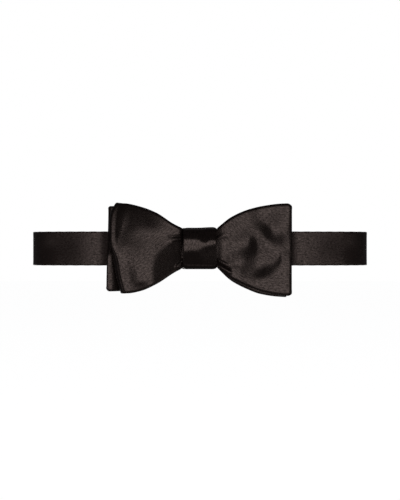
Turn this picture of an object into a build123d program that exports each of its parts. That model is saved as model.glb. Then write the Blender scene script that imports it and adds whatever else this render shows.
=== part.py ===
from build123d import *
import os
from math import cos, radians, sin, tan

# Ready-tied satin bow tie on an adjustable neck band.
#
# Frame: millimetres, +Z up, -Y is the front that faces the viewer, +X is the viewer's right.
# The origin is the centre of the neck opening, at half the height of the band.
#
# The bow is two stiffened satin blades, each folded once.  The front blade folds on the left and ends
# flat on the right, and the rear blade does the opposite.  A satin knot wrap holds both blades and the
# neck band.  The band closes behind the neck with a hook and an eye ring, and a slider sets its length.

# ---- driving dimensions: bow -------------------------------------------------------------------
SATIN = 0.35  # one ply of satin with its turned-in edge
BLADE = 1.4  # satin, interlining, satin
PLY_GAP = 0.1  # air between two blades that are pressed together in the knot

KNOT_WIDTH = 20.6
KNOT_HEIGHT = 24.8
KNOT_WALL = 1.4
KNOT_CORNER = 3.2
KNOT_INNER_CORNER = 0.3
WAIST_HALF_HEIGHT = 10.8  # the blades are gathered to this inside the knot

WING_CORNER = 2.0
LEFT_FOLD_X = -51.2
LEFT_TIP_X = -56.2
RIGHT_FOLD_X = 51.0
RIGHT_TIP_X = 54.4
LEFT_FOLD_DEPTH = 5.0  # front to back between the two layers of a fold
RIGHT_FOLD_DEPTH = 4.1
WING_BULGE = 4.4  # how far the front wings stand forward of the knot

# ---- driving dimensions: neck band ------------------------------------------------------------
BAND_WIDTH = 20.5
BAND = 1.0
BAND_SATIN = 0.25
LOOP_WIDTH = 206.0  # over the outside of the band
LOOP_DEPTH = 44.0  # between the centrelines of front and rear
FRONT_FLAT = 24.0  # straight stretch behind the knot
FRONT_TURN = 8.0  # degrees that the front curves back before each side bend

# ---- driving dimensions: metal parts -----------------------------------------------------------
WIRE = 1.4
EYE_LENGTH = 9.4  # between the centres of the ring's two bars
EYE_HEIGHT = 24.6
EYE_CORNER = 2.0
EYE_X = -12.0  # the bar that the band folds round
EYE_FOLD_RADIUS = 1.75

SLIDER_X = -44.0
SLIDER_LENGTH = 13.0
SLIDER_HEIGHT = 26.6
SLIDER_PLATE = 1.1
SLIDER_BAR = 2.0
SLIDER_CLEARANCE = 0.2
CENTRE_BAR = 1.2
SLIDER_LEG = 1.3

HOOK_X = 8.1  # the bar that the hook strap folds round
HOOK_HEIGHT = 25.0
HOOK_PLATE = 1.0
HOOK_SLOT = 2.1
HOOK_BODY_LEFT = 1.4
TONGUE_WIDTH = 9.0
HOOK_BITE = 0.8  # play between the finger and the ring
HOOK_FOLD_RADIUS = 1.3
HOOK_STRAP_OVERLAP = 14.0

THREAD = 0.4

# ---- worked out --------------------------------------------------------------------------------
FRONT_Y = -LOOP_DEPTH / 2
REAR_Y = LOOP_DEPTH / 2
LAYER = BLADE + PLY_GAP
REAR_INNER_Y = FRONT_Y - BAND / 2 - PLY_GAP - BLADE / 2  # rear blade, layer next to the band
REAR_OUTER_Y = REAR_INNER_Y - LAYER
FRONT_INNER_Y = REAR_OUTER_Y - LAYER
FRONT_OUTER_Y = FRONT_INNER_Y - LAYER
KNOT_BACK_Y = FRONT_Y + BAND / 2 + PLY_GAP + KNOT_WALL
KNOT_FRONT_Y = FRONT_OUTER_Y - BLADE / 2 - PLY_GAP - KNOT_WALL
KNOT_DEPTH = KNOT_BACK_Y - KNOT_FRONT_Y
KNOT_Y = (KNOT_BACK_Y + KNOT_FRONT_Y) / 2
WING_ROOT = KNOT_WIDTH / 2 + 0.6  # where the wings start to grow taller
WING_TURN = KNOT_WIDTH / 2 + 3.2  # where the wings start to bulge forward

TURN_SIN = sin(radians(FRONT_TURN))
TURN_COS = cos(radians(FRONT_TURN))
TURN_RISE = tan(radians(FRONT_TURN / 2))
# The front arc ends at SHOULDER_X, and the side bend runs from there to the straight rear.
BEND_SHARE = (1 - TURN_SIN) / (1 + TURN_COS)
SHOULDER_X = (
    LOOP_WIDTH / 2 - BAND / 2 - BEND_SHARE * (LOOP_DEPTH + TURN_RISE * FRONT_FLAT / 2)
) / (1 - BEND_SHARE * TURN_RISE)
FRONT_RADIUS = (SHOULDER_X - FRONT_FLAT / 2) / TURN_SIN
BEND_RADIUS = (LOOP_DEPTH - FRONT_RADIUS * (1 - TURN_COS)) / (1 + TURN_COS)
SIDE_X = LOOP_WIDTH / 2 - BAND / 2  # the loop's widest place, where the strap swings open
SIDE_Y = REAR_Y - BEND_RADIUS

EYE_Y = REAR_Y - EYE_FOLD_RADIUS
RETURN_Y = REAR_Y - 2 * EYE_FOLD_RADIUS
RETURN_STUB = 3.0
CENTRE_BAR_Y = RETURN_Y + BAND / 2 + PLY_GAP + CENTRE_BAR / 2
LOOP_FOLD_RADIUS = CENTRE_BAR_Y - RETURN_Y
SLIDER_LOOP_INNER = 9.0  # the sewn loop's layer that faces the neck
SLIDER_LOOP_OUTER = 11.0
HOOK_BAR_Y = REAR_Y - HOOK_FOLD_RADIUS
HOOK_PLATE_Y = EYE_Y + WIRE / 2 + SLIDER_CLEARANCE  # the hook lies over the ring
FINGER_X = EYE_X + EYE_LENGTH - WIRE / 2 - HOOK_BITE
FINGER_END_Y = EYE_Y - WIRE / 2 - 0.65


# ---- paths seen from above ----------------------------------------------------------------------
def front_blade_path():
    """From the flat right end, through the knot, round the left fold and back into the knot."""
    wing_y = FRONT_OUTER_Y - WING_BULGE
    fold_y = FRONT_INNER_Y - LEFT_FOLD_DEPTH
    fold = LEFT_FOLD_DEPTH / 2 - 0.01
    FilletPolyline(
        (RIGHT_TIP_X, FRONT_OUTER_Y - 2.2),
        (34, wing_y),
        (WING_TURN, FRONT_OUTER_Y),
        (-WING_TURN, FRONT_OUTER_Y),
        (-32, wing_y - 0.6),
        (LEFT_FOLD_X, fold_y),
        (LEFT_FOLD_X, FRONT_INNER_Y),
        (8, FRONT_INNER_Y),
        radius=[40, 15, 15, 40, fold, fold],
    )


def rear_blade_path():
    """From the flat left end, through the knot, round the right fold and back into the knot."""
    fold_y = REAR_INNER_Y - RIGHT_FOLD_DEPTH
    fold = RIGHT_FOLD_DEPTH / 2 - 0.01
    FilletPolyline(
        (LEFT_TIP_X, REAR_OUTER_Y + 0.3),
        (-WING_TURN, REAR_OUTER_Y),
        (WING_TURN, REAR_OUTER_Y),
        (34, fold_y - 0.6),
        (RIGHT_FOLD_X, fold_y),
        (RIGHT_FOLD_X, REAR_INNER_Y),
        (-8, REAR_INNER_Y),
        radius=[15, 15, 40, fold, fold],
    )


def neck_band_path():
    """From the right side, round the front and left, to the fold round the eye ring and a short way back."""
    right = JernArc((SIDE_X, SIDE_Y), (0, -1), BEND_RADIUS, FRONT_TURN - 90)
    right_front = JernArc(right @ 1, right % 1, FRONT_RADIUS, -FRONT_TURN)
    middle = Line(right_front @ 1, (-FRONT_FLAT / 2, FRONT_Y))
    left_front = JernArc(middle @ 1, (-1, 0), FRONT_RADIUS, -FRONT_TURN)
    left = JernArc(left_front @ 1, left_front % 1, BEND_RADIUS, FRONT_TURN - 180)
    rear = Line(left @ 1, (EYE_X, REAR_Y))
    fold = JernArc(rear @ 1, (1, 0), EYE_FOLD_RADIUS, -180)
    Line(fold @ 1, (EYE_X - RETURN_STUB, RETURN_Y))


def hook_strap_path():
    """From the right side to the hook's bar, round it, and back along the strap to be sewn down."""
    lean = 12
    ease = 6.0
    end_y = REAR_Y - BAND - 0.05
    bend = JernArc((SIDE_X, SIDE_Y), (0, 1), BEND_RADIUS, 90)
    straight = Line(bend @ 1, (HOOK_X, REAR_Y))
    fold = JernArc(straight @ 1, (-1, 0), HOOK_FOLD_RADIUS, 180 + lean)
    to_run = (end_y - (fold @ 1).Y) - ease * (1 - cos(radians(lean)))
    slope = Line(fold @ 1, (fold @ 1) + (fold % 1) * (to_run / sin(radians(lean))))
    level = JernArc(slope @ 1, slope % 1, ease, -lean)
    Line(level @ 1, ((level @ 1).X + HOOK_STRAP_OVERLAP, (level @ 1).Y))


def slider_loop_path():
    """The sewn end of the band, round the slider's centre bar."""
    inner = Line((SLIDER_X + SLIDER_LOOP_INNER, RETURN_Y), (SLIDER_X, RETURN_Y))
    fold = JernArc(inner @ 1, (-1, 0), LOOP_FOLD_RADIUS, -180)
    Line(fold @ 1, (SLIDER_X + SLIDER_LOOP_OUTER, (fold @ 1).Y))


# ---- outlines seen from the front ---------------------------------------------------------------
def wing_edges(top, bottom, tip_top, tip_bottom):
    """One wing's closed outline: two long edges from the waist to the tip, and the tip between them."""
    upper = Spline(*top, tip_top)
    lower = Spline(*bottom, tip_bottom)
    Line(upper @ 1, lower @ 1)
    Line(upper @ 0, lower @ 0)


def front_blade_outline():
    """Both wings of the front blade and its waist."""
    with BuildSketch(Plane.XZ) as outline:
        with BuildLine():
            wing_edges(
                [(WING_ROOT, 11.6), (18, 18.3), (30, 23.7)],
                [(WING_ROOT, -11.2), (22, -20.2), (36, -25.9)],
                (RIGHT_TIP_X, 26.4),
                (RIGHT_TIP_X, -29.0),
            )
        make_face()
        with BuildLine():
            wing_edges(
                [(-WING_ROOT, 11.4), (-20, 17.9), (-33, 24.0)],
                [(-WING_ROOT, -11.2), (-20, -17.6), (-33, -24.4)],
                (LEFT_FOLD_X - BLADE, 27.2),
                (LEFT_FOLD_X - BLADE, -26.6),
            )
        make_face()
        fillet(outline.vertices().filter_by(lambda v: abs(v.X) > 40), WING_CORNER)
        Rectangle(2 * WING_TURN, 2 * WAIST_HALF_HEIGHT, mode=Mode.ADD)
    return outline.sketch


def rear_blade_outline():
    """Both wings of the rear blade and its waist.  It shows below the front blade on the right."""
    with BuildSketch(Plane.XZ) as outline:
        with BuildLine():
            wing_edges(
                [(WING_ROOT, 11.0), (18, 17.5), (30, 22.9)],
                [(WING_ROOT, -11.2), (22, -20.9), (36, -26.6)],
                (RIGHT_FOLD_X + BLADE, 25.4),
                (RIGHT_FOLD_X + BLADE, -29.2),
            )
        make_face()
        with BuildLine():
            wing_edges(
                [(-WING_ROOT, 11.0), (-20, 17.0), (-34, 22.8)],
                [(-WING_ROOT, -11.0), (-20, -16.8), (-34, -23.0)],
                (LEFT_TIP_X + 2.1, 25.4),
                (LEFT_TIP_X, -25.7),
            )
        make_face()
        fillet(outline.vertices().filter_by(lambda v: abs(v.X) > 40), WING_CORNER)
        Rectangle(2 * WING_TURN, 2 * WAIST_HALF_HEIGHT, mode=Mode.ADD)
    return outline.sketch


def band_outline():
    """The band's side view: as long as the loop, as high as the band."""
    with BuildSketch(Plane.XZ) as outline:
        Rectangle(2 * LOOP_WIDTH, BAND_WIDTH)
    return outline.sketch


# ---- strips of cloth ----------------------------------------------------------------------------
def strip(path, outline, thickness, hollow=0.0):
    """Cloth that stands on edge along a path and is cut to an outline.  With a hollow, it is two plies."""
    tall = 80.0
    with BuildPart() as cloth:
        with BuildSketch(Plane.XY.offset(-tall / 2)):
            with BuildLine() as line:
                path()
            trace(line_width=thickness)
            if hollow:
                trace(lines=line.line, line_width=hollow, mode=Mode.SUBTRACT)
        extrude(amount=tall)
        extrude(to_extrude=outline, amount=100, both=True, mode=Mode.INTERSECT)
    return cloth.part


def plies(path, outline, thickness, satin):
    """The two satin plies of a strip.  The longer one, outside the fold, is the face."""
    pair = strip(path, outline, thickness, thickness - 2 * satin)
    lining, face = pair.solids().sort_by(SortBy.VOLUME)
    return face, lining


def save(shape, name):
    """Labels a finished piece and writes its STEP file."""
    shape.label = name
    export_step(shape, f"parts/{name}.step")


os.makedirs("parts", exist_ok=True)

# ---- bow blades ---------------------------------------------------------------------------------
for blade_name, blade_path, blade_outline in (
    ("front_blade", front_blade_path, front_blade_outline),
    ("rear_blade", rear_blade_path, rear_blade_outline),
):
    blade_face, blade_lining = plies(blade_path, blade_outline(), BLADE, SATIN)
    blade_core = strip(blade_path, blade_outline(), BLADE - 2 * SATIN)
    save(blade_face, f"{blade_name}_face")
    save(blade_lining, f"{blade_name}_lining")
    save(blade_core, f"{blade_name}_interlining")

# ---- neck band and hook strap -------------------------------------------------------------------
for band_name, band_path in (("neck_band", neck_band_path), ("hook_strap", hook_strap_path)):
    band_face, band_lining = plies(band_path, band_outline(), BAND, BAND_SATIN)
    save(band_face, f"{band_name}_face")
    save(band_lining, f"{band_name}_lining")

save(strip(hook_strap_path, band_outline(), BAND - 2 * BAND_SATIN), "hook_strap_interlining")

# The neck band's interlining is two lengths that meet inside the knot.
band_core = strip(neck_band_path, band_outline(), BAND - 2 * BAND_SATIN)
for side, kept_half in (("left", Keep.BOTTOM), ("right", Keep.TOP)):
    with BuildPart() as half_core:
        add(band_core)
        split(bisect_by=Plane.YZ, keep=kept_half)
    save(half_core.part, f"neck_band_interlining_{side}")

# ---- band between the eye ring and the slider, and its sewn end ----------------------------------
with BuildPart() as strap_return:
    return_left = SLIDER_X + SLIDER_LOOP_INNER
    return_right = EYE_X - RETURN_STUB
    with Locations(((return_left + return_right) / 2, RETURN_Y, 0)):
        Box(return_right - return_left, BAND, BAND_WIDTH)
save(strap_return.part, "strap_return")

save(strip(slider_loop_path, band_outline(), BAND), "slider_strap_loop")

# ---- knot wrap ----------------------------------------------------------------------------------
def knot_ring(outer, inner, inner_corner):
    """A rounded ring round the knot, between two depths measured in from its outside."""
    with BuildPart() as ring:
        with BuildSketch(Plane.YZ.offset(-KNOT_WIDTH / 2)):
            with Locations((KNOT_Y, 0)):
                RectangleRounded(KNOT_DEPTH - 2 * outer, KNOT_HEIGHT - 2 * outer, KNOT_CORNER - outer)
                RectangleRounded(
                    KNOT_DEPTH - 2 * inner,
                    KNOT_HEIGHT - 2 * inner,
                    inner_corner,
                    mode=Mode.SUBTRACT,
                )
        extrude(amount=KNOT_WIDTH)
    return ring.part


save(knot_ring(0, SATIN, KNOT_CORNER - SATIN), "knot_wrap_satin")
save(knot_ring(SATIN, KNOT_WALL, KNOT_INNER_CORNER), "knot_wrap_interlining")

# Two hand-sewn tacks each side hold the wrap's back edge to the inside of the band.
with BuildPart() as knot_tacks:
    for side in (-1, 1):
        for height in (-6.0, -3.0, 3.0, 6.0):
            with BuildSketch(Plane.YZ.offset(side * (KNOT_WIDTH / 2 + 1.0))):
                with Locations((FRONT_Y + BAND / 2 + THREAD * 0.55, height)):
                    Circle(THREAD / 2)
            extrude(amount=1.0, both=True)
save(knot_tacks.part, "knot_tack_stitches")

# ---- eye ring -----------------------------------------------------------------------------------
with BuildPart() as eye_ring:
    with BuildLine(Plane.XZ.offset(-EYE_Y)) as eye_line:
        half = EYE_HEIGHT / 2
        FilletPolyline(
            (EYE_X, half),
            (EYE_X + EYE_LENGTH, half),
            (EYE_X + EYE_LENGTH, -half),
            (EYE_X, -half),
            radius=EYE_CORNER,
            close=True,
        )
    with BuildSketch(Plane(eye_line.line @ 0, z_dir=eye_line.line % 0)):
        Circle(WIRE / 2)
    sweep()
save(eye_ring.part, "eye_ring")

# ---- slider -------------------------------------------------------------------------------------
with BuildPart() as slider_frame:
    plate_y = REAR_Y + BAND / 2 + SLIDER_CLEARANCE
    leg_z = SLIDER_HEIGHT / 2 - SLIDER_LEG / 2
    with BuildSketch(Plane.XZ.offset(-plate_y - SLIDER_PLATE)):
        with Locations((SLIDER_X, 0)):
            RectangleRounded(SLIDER_LENGTH, SLIDER_HEIGHT, 1.6)
            Rectangle(
                SLIDER_LENGTH - 2 * SLIDER_BAR,
                SLIDER_HEIGHT - 2 * SLIDER_LEG,
                mode=Mode.SUBTRACT,
            )
    extrude(amount=SLIDER_PLATE)
    fillet(slider_frame.faces().sort_by(Axis.Y)[-1].edges(), 0.35)
    # Two legs carry the round centre bar inwards, so that the band runs straight through.
    for end in (-1, 1):
        with Locations((SLIDER_X, (plate_y + CENTRE_BAR_Y) / 2, end * leg_z)):
            Box(CENTRE_BAR + 1.2, plate_y - CENTRE_BAR_Y + CENTRE_BAR, SLIDER_LEG)
    with Locations((SLIDER_X, CENTRE_BAR_Y, 0)):
        Cylinder(CENTRE_BAR / 2, SLIDER_HEIGHT - SLIDER_LEG)
save(slider_frame.part, "slider_frame")

# ---- hook ---------------------------------------------------------------------------------------
with BuildPart() as hook:
    slot_left = HOOK_X - HOOK_SLOT
    arm = (HOOK_HEIGHT - BAND_WIDTH) / 2 - 0.5
    with BuildSketch(Plane.XZ.offset(-HOOK_PLATE_Y - HOOK_PLATE)):
        with BuildLine():
            Polyline(
                (FINGER_X - HOOK_PLATE, TONGUE_WIDTH / 2),
                (HOOK_BODY_LEFT, TONGUE_WIDTH / 2),
                (HOOK_BODY_LEFT + 2, HOOK_HEIGHT / 2),
                (HOOK_X + WIRE / 2, HOOK_HEIGHT / 2),
                (HOOK_X + WIRE / 2, HOOK_HEIGHT / 2 - arm),
                (slot_left, HOOK_HEIGHT / 2 - arm),
                (slot_left, 0),
                (FINGER_X - HOOK_PLATE, 0),
                close=True,
            )
        make_face()
        mirror(about=Plane.XY)
    extrude(amount=HOOK_PLATE)
    with Locations(((FINGER_X - HOOK_PLATE / 2), (HOOK_PLATE_Y + FINGER_END_Y) / 2, 0)):
        Box(HOOK_PLATE, HOOK_PLATE_Y - FINGER_END_Y, TONGUE_WIDTH)
    fillet(
        hook.edges().filter_by(Axis.Z).sort_by(Axis.X)[0:1]
        + hook.edges().filter_by(Axis.Y).group_by(Axis.X)[0],
        0.3,
    )
    # Solid ends carry the round bar that the strap folds round.
    for end in (-1, 1):
        with Locations((HOOK_X - 1.0, (HOOK_PLATE_Y + HOOK_BAR_Y) / 2, end * (HOOK_HEIGHT - arm) / 2)):
            Box(2.0 + WIRE, HOOK_PLATE_Y - HOOK_BAR_Y + WIRE, arm)
    with Locations((HOOK_X, HOOK_BAR_Y, 0)):
        Cylinder(WIRE / 2, HOOK_HEIGHT - arm)
save(hook.part, "hook")


# ---- bar tacks ----------------------------------------------------------------------------------
def bar_tack(x_middle, y_low, y_high):
    """A row of stitches right through two layers of strap, in a zigzag."""
    with BuildPart() as tack:
        for step in range(9):
            height = (step - 4) * 2.0
            side = 0.8 if step % 2 else -0.8
            with BuildSketch(Plane.XZ.offset(-y_high)):
                with Locations((x_middle + side, height)):
                    Circle(THREAD / 2)
            extrude(amount=y_high - y_low)
    return tack.part


hook_return_y = REAR_Y - BAND - 0.05
save(bar_tack(HOOK_X + 15, hook_return_y - BAND / 2 - 0.1, REAR_Y + BAND / 2 + 0.1), "hook_strap_tack")
save(
    bar_tack(SLIDER_X + 6, RETURN_Y - BAND / 2 - 0.1, 2 * CENTRE_BAR_Y - RETURN_Y + BAND / 2 - 0.1),
    "slider_strap_tack",
)
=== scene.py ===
import math

import bpy
import numpy as np
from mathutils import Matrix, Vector


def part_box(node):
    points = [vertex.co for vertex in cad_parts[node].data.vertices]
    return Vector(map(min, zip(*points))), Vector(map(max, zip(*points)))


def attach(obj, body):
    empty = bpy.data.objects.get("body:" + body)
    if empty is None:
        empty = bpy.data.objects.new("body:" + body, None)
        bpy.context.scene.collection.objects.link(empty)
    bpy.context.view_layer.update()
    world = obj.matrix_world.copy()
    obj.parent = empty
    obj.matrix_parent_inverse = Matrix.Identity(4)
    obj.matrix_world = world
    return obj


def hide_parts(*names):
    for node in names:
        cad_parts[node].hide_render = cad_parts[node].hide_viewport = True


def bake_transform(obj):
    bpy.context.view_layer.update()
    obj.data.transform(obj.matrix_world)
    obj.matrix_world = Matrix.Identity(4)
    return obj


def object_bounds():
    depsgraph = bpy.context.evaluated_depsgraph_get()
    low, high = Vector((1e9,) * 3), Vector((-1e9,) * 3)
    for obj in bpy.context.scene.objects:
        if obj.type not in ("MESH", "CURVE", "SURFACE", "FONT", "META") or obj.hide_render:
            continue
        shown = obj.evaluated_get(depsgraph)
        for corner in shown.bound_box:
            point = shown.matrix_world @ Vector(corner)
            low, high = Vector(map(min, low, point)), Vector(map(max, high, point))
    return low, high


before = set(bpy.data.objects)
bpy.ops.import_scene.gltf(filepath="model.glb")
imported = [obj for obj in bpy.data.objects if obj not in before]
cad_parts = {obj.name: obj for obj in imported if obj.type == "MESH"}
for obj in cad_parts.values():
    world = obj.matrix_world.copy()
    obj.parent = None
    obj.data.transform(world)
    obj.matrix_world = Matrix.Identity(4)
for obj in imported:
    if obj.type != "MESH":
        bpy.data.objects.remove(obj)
cad_low, cad_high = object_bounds()

# Shapes are worked out in millimetres in the frame's axes and turned into metres when a mesh is made:
# +X to the viewer's right, -Y towards the viewer, +Z up.
MM = 0.001
rng = np.random.default_rng(11)


def box_mm(node):
    """A CAD node's lowest and highest corners at rest, in mm."""
    low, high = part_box(node)
    return np.array(low) / MM, np.array(high) / MM


# ---- sizes from the frame -----------------------------------------------------------------------
CLOTH = 1.4  # a blade: satin, interlining, satin
STRAP = 1.0  # the neck band: the same, thinner
KNOT_WALL = 1.3  # the wrap round the knot
GAP = 0.1  # between layers of cloth in the knot
THREAD = 0.4
WIRE = 1.4  # the ring, and the bar of the hook

FRONT_LOW, FRONT_HIGH = box_mm("front_blade_face")
REAR_LOW, REAR_HIGH = box_mm("rear_blade_face")
KNOT_LOW, KNOT_HIGH = box_mm("knot_wrap_satin")
BAND_LOW, BAND_HIGH = box_mm("neck_band_face")
LOOP_LOW, LOOP_HIGH = box_mm("slider_strap_loop")

KNOT_HALF = (KNOT_HIGH[0] - KNOT_LOW[0]) / 2
KNOT_TOP = KNOT_HIGH[2]
KNOT_MIDDLE_Y = (KNOT_LOW[1] + KNOT_HIGH[1]) / 2
BAND_FRONT_Y = BAND_LOW[1] + STRAP / 2
BAND_REAR_Y = BAND_HIGH[1] - STRAP / 2
BAND_TOP = BAND_HIGH[2]
RING_BAR_X = box_mm("eye_ring")[0][0] + WIRE / 2
HOOK_BAR_X = box_mm("hook")[1][0] - WIRE / 2


# ---- small helpers ------------------------------------------------------------------------------
def ease(t):
    """0 below 0, 1 above 1, and smooth between."""
    t = np.clip(t, 0, 1)
    return t * t * (3 - 2 * t)


def soft_ramp(t, radius):
    """About 0 below 0 and about t above 0, with a rounded corner between."""
    return 0.5 * (t + np.sqrt(t * t + radius * radius))


def curve(points, at):
    """A smooth curve through a few points that doesn't overshoot (monotone cubic)."""
    x, y = np.array(points, float).T
    d = np.diff(y) / np.diff(x)
    m = np.zeros_like(y)
    m[0], m[-1] = d[0], d[-1]
    same = d[:-1] * d[1:] > 0
    m[1:-1][same] = (2 * d[:-1] * d[1:] / (d[:-1] + d[1:] + 1e-12))[same]
    i = np.clip(np.searchsorted(x, at, side="right") - 1, 0, len(d) - 1)
    w = x[i + 1] - x[i]
    t = np.clip((at - x[i]) / w, 0, 1)
    return (
        (2 * t**3 - 3 * t**2 + 1) * y[i]
        + (t**3 - 2 * t**2 + t) * w * m[i]
        + (-2 * t**3 + 3 * t**2) * y[i + 1]
        + (t**3 - t**2) * w * m[i + 1]
    )


def bump(x, z, centre, along, across, angle=0.0, height=1.0, far_side=None):
    """A soft oval swelling. far_side is its width on the side that its short axis points to."""
    c, s = math.cos(math.radians(angle)), math.sin(math.radians(angle))
    p = (x - centre[0]) * c + (z - centre[1]) * s
    q = -(x - centre[0]) * s + (z - centre[1]) * c
    width = np.where(q > 0, across if far_side is None else far_side, across)
    return height * np.exp(-0.5 * ((p / along) ** 2 + (q / width) ** 2))


def lean(x, z, centre, along, across, angle, height, reach=12.0):
    """A soft oval patch where the cloth leans: it climbs by height along its short axis.

    across is the patch's half width there. Beyond it the cloth comes back to its level within reach."""
    c, s = math.cos(math.radians(angle)), math.sin(math.radians(angle))
    p = (x - centre[0]) * c + (z - centre[1]) * s
    q = -(x - centre[0]) * s + (z - centre[1]) * c
    return 0.5 * height * np.tanh(q / across) * np.exp(-0.5 * ((p / along) ** 2 + (q / reach) ** 2))


def crease(x, z, start, end, width, height, fade=0.35):
    """A narrow ridge, or a groove if height is negative, from start to end, dying away at its far end."""
    d = np.array(end, float) - np.array(start, float)
    length = np.hypot(*d)
    d /= length
    p = ((x - start[0]) * d[0] + (z - start[1]) * d[1]) / length
    q = -(x - start[0]) * d[1] + (z - start[1]) * d[0]
    reach = ease((p + 0.15) / 0.15) * ease((1 - p) / fade)
    return height * reach * np.exp(-0.5 * (q / (width * (0.6 + 0.6 * np.clip(p, 0, 1)))) ** 2)


def crumple(x, z, size, height, count, span_x, span_z):
    """Faint random unevenness: many soft swellings with a fixed seed."""
    total = np.zeros_like(x)
    for _ in range(count):
        centre = (rng.uniform(*span_x), rng.uniform(*span_z))
        total += bump(
            x,
            z,
            centre,
            size * rng.uniform(0.8, 1.8),
            size * rng.uniform(0.5, 0.9),
            rng.uniform(0, 180),
            height * rng.uniform(-1, 1),
        )
    return total


def steps(start, end, count, dense_ends=(True, True), rim=CLOTH / 2):
    """Values from start to end, close together within rim of an end that is to be rounded."""
    near = rim * (1 - np.cos(np.linspace(0, math.pi / 2, 6)))
    sign = 1 if end > start else -1
    first = start + sign * near if dense_ends[0] else np.array([start])
    last = (end - sign * near)[::-1] if dense_ends[1] else np.array([end])
    middle = np.linspace(first[-1], last[0], count)[1:-1]
    return np.concatenate([first, middle, last])


def unit(v):
    """Vectors of length 1, along the last axis."""
    return v / np.maximum(np.linalg.norm(v, axis=-1, keepdims=True), 1e-12)


def new_object(name, points_mm, faces, uv=None, material=None):
    """A smooth-shaded mesh object. uv is in mm, one pair for each point."""
    mesh = bpy.data.meshes.new(name)
    mesh.from_pydata((np.asarray(points_mm) * MM).tolist(), [], faces)
    mesh.validate()
    if uv is not None:
        layer = mesh.uv_layers.new(name="UVMap")
        index = np.zeros(len(mesh.loops), np.int32)
        mesh.loops.foreach_get("vertex_index", index)
        layer.data.foreach_set("uv", (np.asarray(uv)[index] * MM).astype(np.float32).ravel())
    mesh.polygons.foreach_set("use_smooth", [True] * len(mesh.polygons))
    if material is not None:
        mesh.materials.append(material)
    mesh.update()
    obj = bpy.data.objects.new(name, mesh)
    bpy.context.scene.collection.objects.link(obj)
    return obj


def along_grid(grid):
    """Distances along the rows and across the columns of a grid of points, at its middle lines."""
    rows = np.linalg.norm(np.diff(grid, axis=0), axis=2)
    columns = np.linalg.norm(np.diff(grid, axis=1), axis=2)
    u = np.concatenate([[0], np.cumsum(rows[:, grid.shape[1] // 2])])
    v = np.concatenate([np.zeros((grid.shape[0], 1)), np.cumsum(columns, axis=1)], axis=1)
    return u, v


def edge_profile(distance, half):
    """Share of a cloth's half thickness that is left near a rounded edge, at a distance in from it."""
    into = np.clip(distance / half, 0, 1)
    return np.sqrt(1 - (1 - into) ** 2)


def shell_faces(front, back, round_ends):
    """Faces over two grids of point numbers, and across each end that is cut square."""
    faces = []
    for numbers, flip in ((front, False), (back, True)):
        corners = [numbers[:-1, :-1], numbers[1:, :-1], numbers[1:, 1:], numbers[:-1, 1:]]
        quads = np.stack(corners, axis=-1).reshape(-1, 4)
        faces += (quads[:, ::-1] if flip else quads).tolist()
    for end, row in ((0, 0), (1, -1)):
        if round_ends[end]:
            continue
        cap = np.stack([front[row, :-1], front[row, 1:], back[row, 1:], back[row, :-1]], axis=-1)
        cap = cap if end == 0 else cap[:, ::-1]
        # Where front and back share a point, the quad loses a corner.
        faces += [list(dict.fromkeys(quad)) for quad in cap.tolist()]
    return faces


def cloth(name, grid, thickness, material, round_ends=(True, True), puff=0.0):
    """A closed piece of cloth about a grid of points (along, across, 3), with rounded long edges.

    Ends that aren't rounded are cut square. puff is an extra half thickness at each point."""
    nu, nv = grid.shape[:2]
    normal = unit(np.cross(np.gradient(grid, axis=0), np.gradient(grid, axis=1)))
    u, v = along_grid(grid)
    half = thickness / 2
    depth = half * edge_profile(v, half) * edge_profile(v[:, -1:] - v, half) + puff
    front = np.arange(nu * nv).reshape(nu, nv)
    back = front + nu * nv
    back[:, 0], back[:, -1] = front[:, 0], front[:, -1]
    if round_ends[0]:
        depth = depth * edge_profile(u, half)[:, None]
        back[0] = front[0]
    if round_ends[1]:
        depth = depth * edge_profile(u[-1] - u, half)[:, None]
        back[-1] = front[-1]
    faces = shell_faces(front, back, round_ends)
    offset = normal * depth[..., None]
    points = np.concatenate([(grid + offset).reshape(-1, 3), (grid - offset).reshape(-1, 3)])
    uv = np.stack([np.repeat(u[:, None], nv, axis=1), v], axis=-1).reshape(-1, 2)
    used = np.unique(np.concatenate([np.array(face) for face in faces]))
    renumber = np.full(len(points), -1)
    renumber[used] = np.arange(len(used))
    faces = [[int(renumber[i]) for i in face] for face in faces]
    return new_object(name, points[used], faces, np.concatenate([uv, uv])[used], material)


def tube(points, radius, sides=8):
    """Points and faces of a round thread through a list of points, closed at both ends."""
    p = np.array(points, float)
    t = unit(np.gradient(p, axis=0))
    skew = np.array([0.13, 0.41, 0.9])  # a direction that no thread here runs in
    side = unit(np.cross(t, skew))
    up = np.cross(t, side)
    a = np.linspace(0, 2 * math.pi, sides, endpoint=False)
    ring = side[:, None] * np.cos(a)[None, :, None] + up[:, None] * np.sin(a)[None, :, None]
    body = p[:, None] + radius * ring
    n = len(p)
    tip = radius * 0.6
    verts = np.concatenate([body.reshape(-1, 3), p[:1] - t[:1] * tip, p[-1:] + t[-1:] * tip])
    faces = []
    for i in range(n - 1):
        for k in range(sides):
            j = (k + 1) % sides
            faces.append([i * sides + k, i * sides + j, (i + 1) * sides + j, (i + 1) * sides + k])
    for k in range(sides):
        j = (k + 1) % sides
        faces.append([n * sides, j, k])
        faces.append([n * sides + 1, (n - 1) * sides + k, (n - 1) * sides + j])
    return verts, faces


def threads(name, paths, radius, material):
    """One object made of several threads."""
    verts, faces = [], []
    for path in paths:
        v, f = tube(path, radius)
        start = sum(len(x) for x in verts)
        verts.append(v)
        faces += [[i + start for i in face] for face in f]
    return new_object(name, np.concatenate(verts), faces, material=material)


# ---- materials ----------------------------------------------------------------------------------
SATIN_SHADOW = (0.0027, 0.0012, 0.0008)  # between the floats


def node_tree(name):
    """A new material, its node tree and its shader."""
    material = bpy.data.materials.new(name)
    material.use_nodes = True
    tree = material.node_tree
    return material, tree, tree.nodes["Principled BSDF"]


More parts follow.
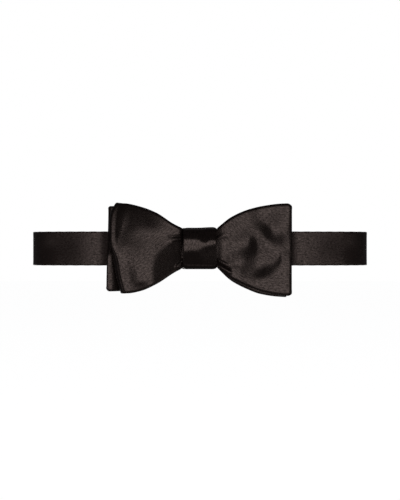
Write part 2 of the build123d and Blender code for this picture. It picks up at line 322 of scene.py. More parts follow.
def add(tree, kind, **values):
    """A new node, with its properties and the values of its inputs set by name."""
    node = tree.nodes.new(kind)
    for key, value in values.items():
        if key in node.bl_rna.properties:
            setattr(node, key, value)
        else:
            node.inputs[key].default_value = value
    return node


def noise(tree, place, scale, detail, roughness=0.6):
    """Noise with its own scale along each axis of place."""
    stretch = add(tree, "ShaderNodeMapping", Scale=scale)
    tree.links.new(place, stretch.inputs["Vector"])
    texture = add(tree, "ShaderNodeTexNoise", Scale=1.0, Detail=detail, Roughness=roughness)
    tree.links.new(stretch.outputs["Vector"], texture.inputs["Vector"])
    return texture.outputs["Fac"]


def remap(tree, value, low, high, to_low, to_high):
    """value, brought from the range low to high into the range to_low to to_high."""
    node = add(tree, "ShaderNodeMapRange")
    for socket, number in zip(node.inputs[1:5], (low, high, to_low, to_high)):
        socket.default_value = number
    tree.links.new(value, node.inputs["Value"])
    return node.outputs["Result"]


def weighted_sum(tree, a, weight_a, b, weight_b):
    """a and b, each times its weight, added up."""
    parts = []
    for value, weight in ((a, weight_a), (b, weight_b)):
        product = add(tree, "ShaderNodeMath", operation="MULTIPLY")
        tree.links.new(value, product.inputs[0])
        product.inputs[1].default_value = weight
        parts.append(product.outputs[0])
    total = add(tree, "ShaderNodeMath", operation="ADD")
    tree.links.new(parts[0], total.inputs[0])
    tree.links.new(parts[1], total.inputs[1])
    return total.outputs[0]


def colours(tree, value, dark, light, low=0.0, high=1.0):
    """The colour that goes from dark where value is low to light where it is high."""
    ramp = add(tree, "ShaderNodeValToRGB")
    first, last = ramp.color_ramp.elements
    first.position, last.position = low, high
    first.color = (*dark, 1)
    last.color = (*light, 1)
    tree.links.new(value, ramp.inputs["Fac"])
    return ramp.outputs["Color"]


def shaded(colour, share):
    """A colour made darker or lighter."""
    return [c * share for c in colour]


def emboss(tree, shader, height, strength, distance):
    """The small relief that height gives the surface. distance is in metres."""
    relief = add(tree, "ShaderNodeBump", Strength=strength, Distance=distance)
    tree.links.new(height, relief.inputs["Height"])
    tree.links.new(relief.outputs["Normal"], shader.inputs["Normal"])


def satin(name, light, roughness, grain, turn, gloss):
    """Warp-faced satin: long floats along U, a gloss that spreads across them, and a sparkling grain.

    grain is how strongly the gloss varies from one patch of floats to the next, and turn is which way the
    gloss spreads: 0 along U, and 0.25 across it."""
    material, tree, shader = node_tree(name)
    link = tree.links.new
    place = add(tree, "ShaderNodeUVMap", uv_map="UVMap").outputs["UV"]
    weave = noise(tree, place, (800, 4200, 1), 1.0)  # floats 1.2 mm long, 0.25 mm apart
    speckle = noise(tree, place, (560, 1150, 1), 1.0)  # patches that catch the light, about 1 mm across
    cloud = noise(tree, place, (90, 120, 1), 2.0)  # slow unevenness, about 10 mm across
    shine = remap(tree, speckle, 0.30, 0.70, 0.0, 1.0)

    mixed = weighted_sum(tree, weave, 0.3, shine, 0.7)
    link(colours(tree, mixed, SATIN_SHADOW, light, 0.25, 0.85), shader.inputs["Base Color"])
    by_patch = remap(tree, shine, 0.0, 1.0, roughness + grain, roughness - grain)
    uneven = remap(tree, cloud, 0.3, 0.7, -0.02, 0.02)
    link(weighted_sum(tree, by_patch, 1.0, uneven, 1.0), shader.inputs["Roughness"])
    emboss(tree, shader, weighted_sum(tree, weave, 0.14, speckle, 0.36), 1.0, 0.0001)

    tangent = add(tree, "ShaderNodeTangent", direction_type="UV_MAP", uv_map="UVMap")
    link(tangent.outputs["Tangent"], shader.inputs["Tangent"])
    shader.inputs["Anisotropic"].default_value = 0.4
    shader.inputs["Anisotropic Rotation"].default_value = turn
    shader.inputs["Specular IOR Level"].default_value = gloss
    shader.inputs["Specular Tint"].default_value = (1.0, 0.78, 0.72, 1)
    return material


def metal(name, colour, roughness):
    """Polished plate with fine brushing and a duller, darker patina in places."""
    material, tree, shader = node_tree(name)
    place = add(tree, "ShaderNodeTexCoord").outputs["Object"]
    brushed = noise(tree, place, (900, 900, 90), 4.0, 0.65)
    patina = noise(tree, place, (260, 260, 260), 3.0)
    tone = colours(tree, patina, shaded(colour, 0.72), colour, 0.35, 0.62)
    tree.links.new(tone, shader.inputs["Base Color"])
    rough = remap(tree, brushed, 0.0, 1.0, roughness - 0.06, roughness + 0.12)
    tree.links.new(rough, shader.inputs["Roughness"])
    emboss(tree, shader, brushed, 0.18, 0.00005)
    shader.inputs["Metallic"].default_value = 1.0
    return material


def thread_material(name, colour):
    """Twisted sewing thread."""
    material, tree, shader = node_tree(name)
    place = add(tree, "ShaderNodeTexCoord").outputs["Object"]
    twist = add(tree, "ShaderNodeTexWave", bands_direction="DIAGONAL", Scale=2600.0, Distortion=1.5)
    tree.links.new(place, twist.inputs["Vector"])
    strands = twist.outputs["Fac"]
    tone = colours(tree, strands, shaded(colour, 0.5), shaded(colour, 1.6))
    tree.links.new(tone, shader.inputs["Base Color"])
    emboss(tree, shader, strands, 0.6, 0.0001)
    shader.inputs["Roughness"].default_value = 0.5
    return material


SATIN = satin("satin", (0.0240, 0.0165, 0.0148), roughness=0.31, grain=0.12, turn=0.25, gloss=0.64)
# The neck band's satin is rougher, glossier and grainier than the bow's. Its base colour is also painted
# lighter, a painted sheen that stands in for the band's brighter shine.
BAND_SATIN_PAINTED_SHEEN = satin("band_satin_painted_sheen", (0.0460, 0.0310, 0.0275), roughness=0.34, grain=0.24, turn=0.0, gloss=0.82)
THREAD_BLACK = thread_material("thread", (0.02, 0.015, 0.014))
NICKEL = metal("nickel", (0.62, 0.60, 0.58), roughness=0.20)


# ---- the bow's outline --------------------------------------------------------------------------
# Shares of the way from the knot to the tip, and of the blade's greatest height above or below the band.
FRONT_LEFT_TOP = [(0, 0.44), (0.15, 0.556), (0.38, 0.780), (0.61, 0.913), (0.84, 0.988), (1, 1.0)]
FRONT_LEFT_BOTTOM = [(0, 0.40), (0.15, 0.522), (0.38, 0.732), (0.61, 0.876), (0.80, 0.925), (1, 0.928)]
FRONT_RIGHT_TOP = [(0, 0.45), (0.20, 0.70), (0.42, 0.855), (0.63, 0.935), (0.85, 0.980), (1, 0.988)]
FRONT_RIGHT_BOTTOM = [(0, 0.39), (0.20, 0.625), (0.42, 0.79), (0.63, 0.90), (0.85, 0.966), (1, 0.985)]
REAR_RIGHT_TOP = [(0, 0.43), (0.20, 0.70), (0.42, 0.86), (0.63, 0.94), (0.85, 0.975), (1, 0.98)]
REAR_RIGHT_BOTTOM = [(0, 0.40), (0.20, 0.66), (0.42, 0.825), (0.63, 0.935), (0.85, 0.985), (1, 1.0)]
REAR_LEFT_TOP = [(0, 0.42), (0.15, 0.55), (0.38, 0.77), (0.61, 0.91), (0.84, 1.0), (1, 1.0)]
REAR_LEFT_BOTTOM = [(0, 0.38), (0.15, 0.50), (0.38, 0.70), (0.61, 0.83), (0.84, 0.88), (1, 0.885)]


def edge_height(points, x, tip_x, full_height, corner=0.0):
    """Height of a wing's edge at x, in mm. Its corner at the tip can be rounded."""
    share = (np.abs(x) - KNOT_HALF) / (abs(tip_x) - KNOT_HALF)
    height = curve(points, np.clip(share, 0, 1)) * abs(full_height)
    waist = ease((np.abs(x) - KNOT_HALF + 1.2) / 1.8)
    height = height * waist + (KNOT_TOP - CLOTH - 0.2) * (1 - waist)
    if corner:
        into = np.clip(np.abs(x) - (abs(tip_x) - corner), 0, corner)
        height = height - (corner - np.sqrt(np.maximum(corner**2 - into**2, 0)))
    return height


# ---- relief of the wings, in mm towards the viewer ----------------------------------------------
def left_relief(x, z):
    """The front of the viewer's left wing, a loop whose fold is its outer edge."""
    away = soft_ramp(-x - KNOT_HALF + 1.3, 0.6)
    upper = 1.3 * ease(away / 3.5) + 2.9 * (1 - soft_ramp(1 - away / 30, 0.12))
    lower = upper + 1.2 * ease((-x - 12) / 16) * (1 - 0.8 * ease((-x - 28) / 14))
    crossing = 5.0 - 6.0 * ease(away / 18)
    spread = 8 + 14 * ease((away - 8) / 14)
    h = upper + (lower - upper) * ease((crossing - z) / spread + 0.5)
    # The lower part by the knot is a plane that falls back towards the knot.
    plane = -0.9 + 0.31 * (-11 - x) + 0.20 * soft_ramp(z + 2, 1.5)
    h -= soft_ramp(h - plane, 0.4)
    # The upper part leans back, and the fold itself less so.
    above = z - 12 + 0.35 * soft_ramp(-x - 36, 3.0)
    off_fold = 0.35 + 0.65 * ease((x + 53) / 12)
    h -= 0.33 * soft_ramp(above, 4.0) * ease((-x - 12) / 24) * off_fold
    # A hollow beside the fold, a faint dent below it, and a small fall at the bottom edge.
    h += bump(x, z, (-45.6, 9.6), 6.0, 8.0, 80, -1.2, far_side=3.0)
    h += lean(x, z, (-43.2, -0.3), 2.2, 1.5, 0, 0.18)
    h += lean(x, z, (-35.0, -21.3), 3.0, 1.8, 18, 0.8)
    # Pleats out of the knot.
    h += crease(x, z, (-10.2, 7.6), (-20.0, 6.6), 0.7, -0.25)
    h += crease(x, z, (-10.2, 5.8), (-18.0, 5.0), 0.8, 0.35)
    h += crease(x, z, (-10.2, -7.0), (-14.5, -12.5), 0.9, 1.0)
    return h


def right_relief(x, z):
    """The front of the viewer's right wing, a flat end."""
    away = soft_ramp(x - KNOT_HALF + 1.4, 0.6)
    h = 0.42 * ease(away / 4.8) + 2.3 * (1 - soft_ramp(1 - away / 26, 0.10))
    # The flat end turns a little to the front, and so does its top.
    h += 0.06 * soft_ramp(x - 45, 1.5) * ease((z + 6) / 6)
    h += 0.04 * soft_ramp(z - 14, 3.0) * ease((x - 28) / 10)
    # A dimple, and an oblique trough above it to its right.
    h += lean(x, z, (31.6, 3.6), 4.2, 2.9, -75, 1.5, reach=14)
    h += lean(x, z, (40.3, 9.1), 5.4, 3.7, -58, 2.8, reach=11)
    h += lean(x, z, (33.9, 13.2), 4.5, 3.6, -60, 0.55)
    # A fall that starts low down, bends up and runs on up beside the end.
    h += lean(x, z, (37.2, -14.2), 5.4, 4.0, 26, 2.2, reach=10)
    h += lean(x, z, (46.2, -8.6), 3.4, 1.8, 50, 0.5)
    h += bump(x, z, (48.9, -1.0), 6.0, 1.4, 90, -0.26)
    # Pleats out of the knot, most of them low down.
    h += crease(x, z, (10.6, -8.0), (18.8, -13.4), 0.5, -0.9, 0.2)
    h += crease(x, z, (10.2, -9.9), (20.0, -15.4), 0.6, 0.6)
    h += crease(x, z, (10.2, -6.4), (18.5, -11.4), 0.7, 0.35)
    h += lean(x, z, (21.6, -10.8), 2.6, 1.6, 20, 0.5, reach=9)
    h += crease(x, z, (10.2, 6.0), (17.5, 9.0), 1.1, 0.2)
    return h


def knot_layers():
    """Depth of each of the four layers of cloth inside the knot, front to back."""
    front = KNOT_LOW[1] + KNOT_WALL + 2 * GAP + CLOTH / 2
    return [front + i * (CLOTH + GAP) for i in range(4)]


LAYERS = knot_layers()
SETTLE = 1.0  # how far the layers behind the left wing's front lie back once they are out of the knot
EDGE_ROLL = 0.9  # how far in from its edges a blade rolls back, where its satin is turned under
LEFT_TIP_X = -51.0  # where the front blade's left loop is tallest
LEFT_FOLD_X = -50.0  # where the edges' heights are taken for the left loop's fold
REAR_TIP_X = REAR_LOW[0] + 0.2
REAR_FOLD_X = REAR_HIGH[0] - CLOTH / 2
REAR_FOLD_DEPTH = 4.1


def across_share(count):
    """Shares of the way up a wing, close together near both edges."""
    near = 0.036 * (1 - np.cos(np.linspace(0, math.pi / 2, 9)))
    return np.concatenate([near, np.linspace(near[-1], 1 - near[-1], count)[1:-1], 1 - near[::-1]])


def rows_of(x, y, top, bottom, share):
    """Grid rows at x and y, from the bottom edge up to the top edge, given as heights off the middle."""
    z = -bottom + (top + bottom) * share[None]
    return np.stack(np.broadcast_arrays(x, y, z), axis=-1).copy()


def roll_back(z, top, bottom, depth=0.6):
    """How much a blade's edges curl back, in mm."""
    inside = np.minimum(top - z, z + bottom)
    return depth * np.exp(-((inside / EDGE_ROLL) ** 2))


def front_fold_x(z):
    """The outer edge of the left loop's fold: it runs in towards both corners, most of all the lower."""
    return curve(
        [
            (-27, -46.4),
            (-16, -49.2),
            (-8, -50.6),
            (-2, -51.7),
            (5, -53.4),
            (14, -53.4),
            (20, -52.8),
            (25, -50.8),
            (27.4, -49.2),
        ],
        z,
    )


def front_right_end(share):
    """The front blade's flat end, on the right."""
    tip_x = FRONT_HIGH[0]
    x = steps(tip_x, 0, 120, (True, False), 1.5)[:, None]
    top = edge_height(FRONT_RIGHT_TOP, x, tip_x, FRONT_HIGH[2], 2.8)
    bottom = edge_height(FRONT_RIGHT_BOTTOM, x, tip_x, FRONT_LOW[2], 2.4)
    grid = rows_of(x, LAYERS[0], top, bottom, share)
    x, z = grid[..., 0].copy(), grid[..., 2].copy()
    outside = ease((x - KNOT_HALF + 1.8) / 2.6)
    uneven = crumple(x, z, 5.0, 0.08, 40, (12, 54), (-28, 27))
    grid[..., 1] -= outside * (right_relief(x, z) + uneven - roll_back(z, top, bottom))
    # The end's own edge rolls back as well.
    grid[..., 1] += 0.7 * np.exp(-(tip_x - x) / 0.7)
    return grid


def left_loop_edges(x):
    """Heights of the left loop's top and bottom edges."""
    top = edge_height(FRONT_LEFT_TOP, x, LEFT_TIP_X, FRONT_HIGH[2])
    bottom = edge_height(FRONT_LEFT_BOTTOM, x, LEFT_TIP_X, FRONT_LOW[2])
    return top, bottom


def left_loop_front(share, end_x, end_height):
    """The left loop's front, from the knot's middle out to end_x, where it stands end_height forward."""
    out = np.linspace(0, 1, 116)[1:, None]
    x = out * end_x[None]
    top, bottom = left_loop_edges(x)
    grid = rows_of(x, LAYERS[0], top, bottom, share)
    z = grid[..., 2]
    outside = ease((-x - KNOT_HALF + 1.8) / 2.6)
    near_end = ease((out - 0.93) / 0.07)
    uneven = crumple(x, z, 5.0, 0.10, 40, (-50, -12), (-26, 26)) * (1 - near_end)
    relief = left_relief(x, z) - roll_back(z, top, bottom)
    relief += (end_height[None] - relief) * near_end
    grid[..., 1] -= outside * (relief + uneven)
    return grid


def front_left_loop(share):
    """The front blade's loop on the left: out, round the fold and back into the knot."""
    fold_top, fold_bottom = left_loop_edges(np.array([LEFT_FOLD_X]))
    fold_z = -fold_bottom + (fold_top + fold_bottom) * share
    edge = front_fold_x(fold_z)
    at_fold = left_relief(edge + 1.4, fold_z) - roll_back(fold_z, fold_top, fold_bottom, 0.5)
    half_width = 1.0 + 1.6 * ease((2 - fold_z) / 10)
    front = left_loop_front(share, edge + half_width, at_fold)
    back_y = LAYERS[1] + SETTLE
    half_depth = (back_y - LAYERS[0] + at_fold) / 2
    turn = np.linspace(0, math.pi, 28)[1:-1, None]
    turn_x = edge[None] + half_width[None] * (1 - np.sin(turn))
    turn_y = back_y - half_depth[None] * (1 + np.cos(turn))
    fold = rows_of(turn_x, turn_y, fold_top, fold_bottom, share)
    x = np.linspace(1, 0.14, 60)[:, None] * (edge + half_width)[None]
    y = LAYERS[1] + SETTLE * ease((-x - KNOT_HALF + 0.5) / 4)
    back = rows_of(x, y, *left_loop_edges(x), share)
    return np.concatenate([front, fold, back])


def front_blade():
    """From the flat right end through the knot, round the left fold and back into the knot."""
    share = across_share(84)
    grid = np.concatenate([front_right_end(share), front_left_loop(share)])
    return cloth("front_blade", grid, CLOTH, SATIN, (True, False))


def rear_stations():
    """The rear blade's centreline seen from above, and how many of its points are on the flat left end."""
    radius = REAR_FOLD_DEPTH / 2
    y_front, y_back = LAYERS[2], LAYERS[3]
    left_x = steps(REAR_TIP_X, 0, 110, (True, False), 1.5)
    left_y = y_front + SETTLE * ease((-left_x - KNOT_HALF + 0.5) / 4)
    right_x = np.linspace(0, REAR_FOLD_X - radius, 100)[1:]
    right_y = y_front + (y_back - REAR_FOLD_DEPTH - y_front) * ease((right_x - KNOT_HALF) / 26)
    turn = np.linspace(0, math.pi, 22)[1:-1]
    fold_x = REAR_FOLD_X - radius + radius * np.sin(turn)
    fold_y = y_back - radius - radius * np.cos(turn)
    back_x = np.linspace(REAR_FOLD_X - radius, 8, 60)
    back_y = np.full_like(back_x, y_back)
    x = np.concatenate([left_x, right_x, fold_x, back_x])
    y = np.concatenate([left_y, right_y, fold_y, back_y])
    return x[:, None], y[:, None], len(left_x)


def rear_edges(x, is_left):
    """Heights of the rear blade's top and bottom edges, on its flat left end and on its right loop."""
    left_top = edge_height(REAR_LEFT_TOP, x, REAR_TIP_X, REAR_HIGH[2], 1.2)
    left_bottom = edge_height(REAR_LEFT_BOTTOM, x, REAR_TIP_X, REAR_LOW[2], 2.0)
    right_top = edge_height(REAR_RIGHT_TOP, x, REAR_FOLD_X, REAR_HIGH[2])
    right_bottom = edge_height(REAR_RIGHT_BOTTOM, x, REAR_FOLD_X, REAR_LOW[2])
    return np.where(is_left, left_top, right_top), np.where(is_left, left_bottom, right_bottom)


def rear_left_relief(x, z):
    """How far the flat left end stands forward: its lower part swells, and its upper edge curls back."""
    inside = x - REAR_TIP_X
    fall_from = 0.5 + 1.6 * ease(-z / 22)
    ridge = 2.0 * (1 - ease((inside - fall_from) / 8)) * ease((3 - z) / 8)
    curl = 0.5 * np.exp(-inside / 0.9) * ease((z + 1) / 6)
    return ridge - curl


def rear_blade():
    """From the flat left end through the knot, round the right fold and back into the knot."""
    x, y, left_count = rear_stations()
    is_left = (np.arange(len(x)) < left_count)[:, None]
    top, bottom = rear_edges(x, is_left)
    grid = rows_of(x, y, top, bottom, across_share(60))
    gx, gz = grid[..., 0].copy(), grid[..., 2].copy()
    # The flat left end's edge leans in towards the top.
    aslant = 1.1 * ease((gz + 25) / 50) * ease((-gx - KNOT_HALF) / 44)
    grid[..., 0] += np.where(is_left, aslant, 0)
    relief = np.where(is_left, rear_left_relief(gx, gz), 0) - roll_back(gz, top, bottom, 0.3)
    uneven = crumple(gx, gz, 6.0, 0.14, 50, (-54, 52), (-26, 25))
    outside = ease((np.abs(gx) - KNOT_HALF + 1.5) / 4.0)
    grid[..., 1] -= outside * (relief + uneven)
    return cloth("rear_blade", grid, CLOTH, SATIN, (True, False))


# ---- knot ---------------------------------------------------------------------------------------
KNOT_CORNER = 3.2  # radius of the wrap's turns at its top and bottom


def knot_ring_path(count):
    """The wrap's outer outline seen from the side, as (y, z), clockwise from the back's middle."""
    half_y = (KNOT_HIGH[1] - KNOT_LOW[1]) / 2
    y, z = half_y - KNOT_CORNER, KNOT_TOP - KNOT_CORNER
    points = [(-half_y, 0.0)]
    for cy, cz, start in ((-y, z, 180), (y, z, 90), (y, -z, 0), (-y, -z, -90)):
        for a in np.radians(np.linspace(start, start - 90, 14)):
            points.append((cy + KNOT_CORNER * math.cos(a), cz + KNOT_CORNER * math.sin(a)))
    points.append((-half_y, 0.0))
    p = np.array(points)
    s = np.concatenate([[0], np.cumsum(np.linalg.norm(np.diff(p, axis=0), axis=1))])
    at = (s[-1] / 2 + np.linspace(0, s[-1], count)) % s[-1]
    return np.stack([KNOT_MIDDLE_Y + np.interp(at, s, p[:, 0]), np.interp(at, s, p[:, 1])], axis=1)


def knot_facets(x, z):
    """The wrap's front: a middle facet that faces the viewer, and two that lean back above and below it."""
    crest = 3.0
    low_line = -1.5 + 3.6 * ease((x + 4.5) / 14)
    high_line = 5.4 - 2.1 * np.exp(-(((x - 2.6) / 2.6) ** 2)) - 0.6 * ease((x - 4) / 6)
    low_slope = crest / (low_line + 10.4)
    return crest - low_slope * soft_ramp(low_line - z, 1.5) - 0.42 * soft_ramp(z - high_line, 1.3)


def knot_wrap():
    """A band of satin round the knot, its side edges turned under, with the folds that the tying leaves."""
    ring = knot_ring_path(241)
    inward = unit(np.array([KNOT_MIDDLE_Y, 0]) - ring)
    middle = ring + inward * KNOT_WALL / 2
    x = steps(-KNOT_HALF + 0.2, KNOT_HALF - 0.4, 60, rim=KNOT_WALL / 2)
    grid = np.zeros((len(middle), len(x), 3))
    grid[..., 0] = x[None]
    grid[..., 1] = middle[:, :1]
    grid[..., 2] = middle[:, 1:]
    gx, gz = grid[..., 0], grid[..., 2].copy()
    on_front = ease((KNOT_MIDDLE_Y + 2.0 - grid[..., 1]) / 5.5)
    # The top and bottom edges dip towards the sides, where the wrap is pulled in.
    pull = 0.7 * ease((np.abs(gx) - KNOT_HALF + 2.6) / 2.6)
    grid[..., 2] -= np.sign(gz) * pull * ease((np.abs(gz) - 6) / 5)
    grid[..., 2] += 0.35 * ease((gx + 2) / 9) * ease((gz - 8) / 3)
    wrinkle = crumple(gx, gz, 2.6, 0.10, 26, (-10, 10), (-12, 12))
    grid[..., 1] -= on_front * (knot_facets(gx, gz) + wrinkle)
    return cloth("knot_wrap", grid, KNOT_WALL, SATIN, (False, False))


# ---- neck band ----------------------------------------------------------------------------------
BAND_FLAT = 12.0  # half of the straight stretch in the middle of the front
BAND_TURN = math.radians(8)  # how far the slow arcs beside it turn
HOOK_FOLD = 1.3  # radius of the fold round the hook's bar
RING_FOLD = 1.75  # radius of the fold round the ring's bar
RETURN_Y = BAND_REAR_Y - 2 * RING_FOLD
RETURN_START_X = RING_BAR_X - 2.0  # where the band's own piece ends and the return strap's starts


def band_path():
    """The band's centreline seen from above, from the middle of the front round the right side to the rear.

    It is worked out from the band's box: a straight stretch, a slow arc and a side bend."""
    depth = BAND_REAR_Y - BAND_FRONT_Y
    half = BAND_HIGH[0] - STRAP / 2
    rise = math.tan(BAND_TURN / 2)
    share = (1 - math.sin(BAND_TURN)) / (1 + math.cos(BAND_TURN))
    shoulder = (half - share * (depth + rise * BAND_FLAT)) / (1 - share * rise)
    slow_radius = (shoulder - BAND_FLAT) / math.sin(BAND_TURN)
    bend_radius = (depth - slow_radius * (1 - math.cos(BAND_TURN))) / (1 + math.cos(BAND_TURN))
    front = np.stack([np.linspace(0, BAND_FLAT, 12)[:-1], np.full(11, BAND_FRONT_Y)], axis=1)
    slow_end = math.degrees(BAND_TURN) - 90
    slow = arc((BAND_FLAT, BAND_FRONT_Y + slow_radius), slow_radius, -90, slow_end, 50)
    bend = arc((half - bend_radius, BAND_REAR_Y - bend_radius), bend_radius, slow_end, 90, 60)
    return np.concatenate([front, slow, bend[1:]])


def resample(path, step):
    """Points about a step apart along a path."""
    s = np.concatenate([[0], np.cumsum(np.linalg.norm(np.diff(path, axis=0), axis=1))])
    at = np.linspace(0, s[-1], int(s[-1] / step) + 2)
    return np.stack([np.interp(at, s, path[:, k]) for k in (0, 1)], axis=1)


def arc(centre, radius, start, end, count=22):
    """Points on an arc seen from above, between two angles in degrees from +X."""
    a = np.radians(np.linspace(start, end, count))
    return np.stack([centre[0] + radius * np.cos(a), centre[1] + radius * np.sin(a)], axis=1)


def worn_in(grid):
    """The band as it sits: swelling forward behind the bow's ends, and cupped where it starts to turn."""
    side, across = np.abs(grid[..., 0]), grid[..., 2]
    in_front = ease((-grid[..., 1] - 4) / 6)
    bow_end = np.where(grid[..., 0] < 0, -REAR_LOW[0], FRONT_HIGH[0])
    swelling = 0.8 * np.exp(-0.5 * ((side - bow_end + 1.8) / 2.0) ** 2)
    cupped = 0.8 * ease((side - 70) / 20) * ease((100 - side) / 8) * np.exp(-((across / 6) ** 2))
    # The left side bows a little to the front.
    bowed = 0.5 * np.exp(-(((grid[..., 0] + 73) / 12) ** 2))
    grid[..., 1] += in_front * (cupped - swelling - bowed)


def strap(name, path, step, round_ends=(False, False)):
    """A flat strap that stands on edge along a path, with a thicker line where each edge is sewn."""
    line = resample(path, step)
    across = steps(-BAND_TOP, BAND_TOP, 30, rim=STRAP / 2)
    grid = np.zeros((len(line), len(across), 3))
    grid[..., 0] = line[:, :1]
    grid[..., 1] = line[:, 1:]
    grid[..., 2] = across[None]
    near_edge = ease((np.abs(across[None]) / BAND_TOP - 0.7) / 0.3)
    grid[..., 2] += 0.035 * np.sin(np.arange(len(line)) * step * 0.9)[:, None] * near_edge
    worn_in(grid)
    from_edge = BAND_TOP - np.abs(across)
    seam = 0.06 * np.exp(-0.5 * (from_edge / 0.9 - 1.2) ** 2)
    puff = np.broadcast_to(seam, grid.shape[:2])
    return cloth(name, grid, STRAP, BAND_SATIN_PAINTED_SHEEN, round_ends, puff)


def right_band():
    """From inside the knot round the right side to the hook's bar, round it and back, to be sewn down."""
    slope = math.radians(12)
    easing = 6.0  # radius with which the tail comes level
    turn = arc((HOOK_BAR_X, BAND_REAR_Y - HOOK_FOLD), HOOK_FOLD, 90, 270 + 12)
    tail_y = BAND_REAR_Y - STRAP - 0.05
    run = (tail_y - turn[-1][1] - easing * (1 - math.cos(slope))) / math.sin(slope)
    corner = turn[-1] + run * np.array([math.cos(slope), math.sin(slope)])
    centre = corner + easing * np.array([math.sin(slope), -math.cos(slope)])
    level = arc(centre, easing, 90 + 12, 90, 8)
    tail_x = np.linspace(level[-1][0], level[-1][0] + 14, 20)
    tail = np.stack([tail_x, np.full(20, level[-1][1])], axis=1)
    path = np.concatenate([band_path(), turn, corner[None], level[1:], tail[1:]])
    piece = strap("neck_band_right", path, 0.7, (False, True))
    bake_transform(piece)
    return piece


def left_band():
    """From inside the knot round the left side to the ring, round its bar, and a short way back."""
    around = band_path() * np.array([-1, 1])
    turn = arc((RING_BAR_X, BAND_REAR_Y - RING_FOLD), RING_FOLD, 90, -90)
    path = np.concatenate([around, turn, [[RETURN_START_X, RETURN_Y]]])
    piece = strap("neck_band_left", path, 0.7)
    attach(piece, "bow_and_band")
    return piece


def return_strap():
    """On from the left band's end to the slider's centre bar, round it, and sewn to itself."""
    radius = (LOOP_HIGH[1] - LOOP_LOW[1] - STRAP) / 2
    bar_x = LOOP_LOW[0] + STRAP / 2 + radius
    turn = arc((bar_x, RETURN_Y + radius), radius, -90, -270)
    path = np.concatenate([[[RETURN_START_X, RETURN_Y]], turn, [[LOOP_HIGH[0], RETURN_Y + 2 * radius]]])
    piece = strap("strap_return_and_loop", path, 0.5, (False, True))
    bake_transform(piece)
    return piece


# ---- stitches -----------------------------------------------------------------------------------
def bar_tack(name, x, y_faces, half_width=0.9, half_height=8.2, stitches=26):
    """Zigzag stitching through two layers of strap, as it shows on both faces."""
    paths = []
    for y, out in y_faces:
        z = np.linspace(-half_height, half_height, stitches * 4 + 1)
        phase = np.arange(len(z)) / 4
        swing = 2 * np.abs(2 * (phase - np.floor(phase + 0.5))) - 1
        sink = 0.10 * (np.abs(swing) > 0.7)
        paths.append(np.stack([x + half_width * swing, y + out * (0.06 - sink), z], axis=1))
    return threads(name, paths, THREAD * 0.34, THREAD_BLACK)


def knot_tacks():
    """Hand stitches over both edges of the wrap's back, into the neck band."""
    paths = []
    back = KNOT_HIGH[1]
    band_inner = BAND_FRONT_Y + STRAP / 2
    for side in (-1, 1):
        edge = KNOT_HALF * side
        for z in (-7.0, -5.0, -3.0, -1.0, 1.0, 3.0, 5.0, 7.0):
            t = np.linspace(0, 1, 9)
            x = edge + side * (-1.0 + 2.4 * t)
            y = back + 0.05 - (back - band_inner - 0.1) * ease((t - 0.35) / 0.35)
            paths.append(np.stack([x, y, z + 1.1 * t], axis=1))
    return threads("knot_tacks", paths, THREAD * 0.4, THREAD_BLACK)


# ---- stage --------------------------------------------------------------------------------------
CAMERA_DISTANCE = 800.0  # from the front of the band
VIEW_HEIGHT = 300.0  # of the picture, at the front of the band
VIEW_MIDDLE_Z = -0.9
FLOOR_DROP = 130  # from the bow down to the floor
FLOOR_HALF = 6000
LIGHT_DISTANCE = 1.6  # in metres


def camera():
    """Straight on to the front, as the photograph was taken."""
    data = bpy.data.cameras.new("camera")
    data.sensor_width = 36
    data.lens = data.sensor_width * CAMERA_DISTANCE / VIEW_HEIGHT
    data.clip_start, data.clip_end = 0.01, 20
    obj = bpy.data.objects.new("camera", data)
    obj.location = (0, (BAND_FRONT_Y - CAMERA_DISTANCE) * MM, VIEW_MIDDLE_Z * MM)
    obj.rotation_euler = (math.radians(90), 0, 0)
    bpy.context.scene.collection.objects.link(obj)
    bpy.context.scene.camera = obj


def softbox(name, azimuth, elevation, width, height, radiance):
    """A soft rectangular light that faces the knot. Azimuth 0 is on the camera's side, and 90 the right."""
    data = bpy.data.lights.new(name, "AREA")
    data.shape = "RECTANGLE"
    data.size, data.size_y = width, height
    data.energy = radiance * 4 * width * height  # Blender's watts, for that radiance at the lamp's face
    a, e = math.radians(azimuth), math.radians(elevation)
    direction = Vector((math.sin(a) * math.cos(e), -math.cos(a) * math.cos(e), math.sin(e)))
    obj = bpy.data.objects.new(name, data)
    obj.location = direction * LIGHT_DISTANCE
    obj.rotation_mode = "QUATERNION"
    obj.rotation_quaternion = direction.to_track_quat("Z", "Y")
    bpy.context.scene.collection.objects.link(obj)


def lights():
    """A key light by the camera, low ones to the sides and behind, and a little from above and below."""
    softbox("key", 2, 1, 0.86, 0.66, 1.36)
    for azimuth, radiance in ((148, 0.40), (180, 0.85), (214, 0.55)):
        softbox(f"back_{azimuth}", azimuth, -18, 0.70, 0.60, radiance)
    for azimuth in (-55, 55):
        softbox(f"side_{azimuth}", azimuth, -20, 0.9, 0.5, 0.36)
    softbox("top", 180, 62, 0.9, 0.6, 0.15)
    softbox("under", 0, -62, 1.2, 0.8, 0.12)


def floor():
    """A pale floor below the bow. It takes no part in the satin's reflections."""
    material, _, shader = node_tree("floor")
    shader.inputs["Base Color"].default_value = (0.93, 0.93, 0.93, 1)
    shader.inputs["Roughness"].default_value = 0.9
    shader.inputs["Specular IOR Level"].default_value = 0.1
    shader.inputs["Emission Color"].default_value = (1, 1, 1, 1)
    shader.inputs["Emission Strength"].default_value = 0.95
    z = cad_low[2] / MM - FLOOR_DROP
    corners = [(FLOOR_HALF * x, FLOOR_HALF * y, z) for x, y in ((-1, -1), (1, -1), (1, 1), (-1, 1))]
    obj = new_object("floor", corners, [[0, 1, 2, 3]], material=material)
    obj.visible_glossy = False
    obj.visible_diffuse = False
    obj.visible_shadow = False


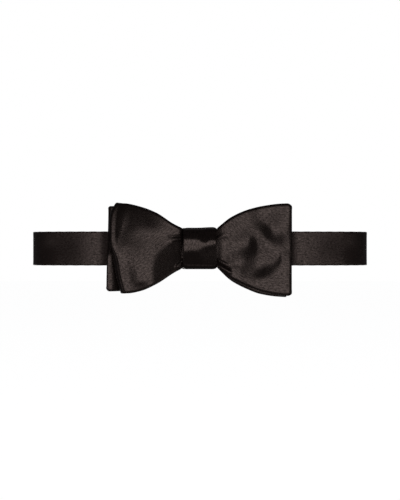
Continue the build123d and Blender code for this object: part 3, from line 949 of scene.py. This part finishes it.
def surround():
    """White to look at, and dim as a light."""
    world = bpy.data.worlds.new("surround")
    world.use_nodes = True
    tree = world.node_tree
    white = tree.nodes["Background"]
    white.inputs["Color"].default_value = (1, 1, 1, 1)
    dim = add(tree, "ShaderNodeBackground", Color=(0.04, 0.04, 0.042, 1))
    path = tree.nodes.new("ShaderNodeLightPath")
    mix = tree.nodes.new("ShaderNodeMixShader")
    tree.links.new(path.outputs["Is Camera Ray"], mix.inputs["Fac"])
    tree.links.new(dim.outputs["Background"], mix.inputs[1])
    tree.links.new(white.outputs["Background"], mix.inputs[2])
    tree.links.new(mix.outputs["Shader"], tree.nodes["World Output"].inputs["Surface"])
    bpy.context.scene.world = world
    view = bpy.context.scene.view_settings
    view.view_transform = "Standard"
    view.look = "None"


# ---- assembly -----------------------------------------------------------------------------------
camera()
floor()
surround()
lights()

front = front_blade()
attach(front, "bow_and_band")
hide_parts("front_blade_face", "front_blade_lining", "front_blade_interlining")
rear = rear_blade()
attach(rear, "bow_and_band")
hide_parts("rear_blade_face", "rear_blade_lining", "rear_blade_interlining")
wrap = knot_wrap()
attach(wrap, "bow_and_band")
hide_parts("knot_wrap_satin", "knot_wrap_interlining")
tacks = knot_tacks()
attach(tacks, "bow_and_band")
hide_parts("knot_tack_stitches")
band_right = right_band()
band_left = left_band()
band_back = return_strap()
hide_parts("neck_band_face", "neck_band_lining", "neck_band_interlining_left")
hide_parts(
    "neck_band_interlining_right",
    "hook_strap_face",
    "hook_strap_lining",
    "hook_strap_interlining",
)
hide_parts("strap_return", "slider_strap_loop")

hook_tack_low, hook_tack_high = box_mm("hook_strap_tack")
hook_tack = bar_tack(
    "hook_strap_bar_tack",
    (hook_tack_low[0] + hook_tack_high[0]) / 2,
    [(hook_tack_low[1] + 0.1, -1), (hook_tack_high[1] - 0.1, 1)],
)
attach(hook_tack, "hook_strap")
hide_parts("hook_strap_tack")
slider_tack_low, slider_tack_high = box_mm("slider_strap_tack")
slider_tack = bar_tack(
    "slider_strap_bar_tack",
    (slider_tack_low[0] + slider_tack_high[0]) / 2,
    [(slider_tack_low[1] + 0.1, -1), (slider_tack_high[1], 1)],
)
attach(slider_tack, "slider")
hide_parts("slider_strap_tack")

for node in ("slider_frame", "eye_ring", "hook"):
    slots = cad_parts[node].data.materials
    slots.clear()
    slots.append(NICKEL)
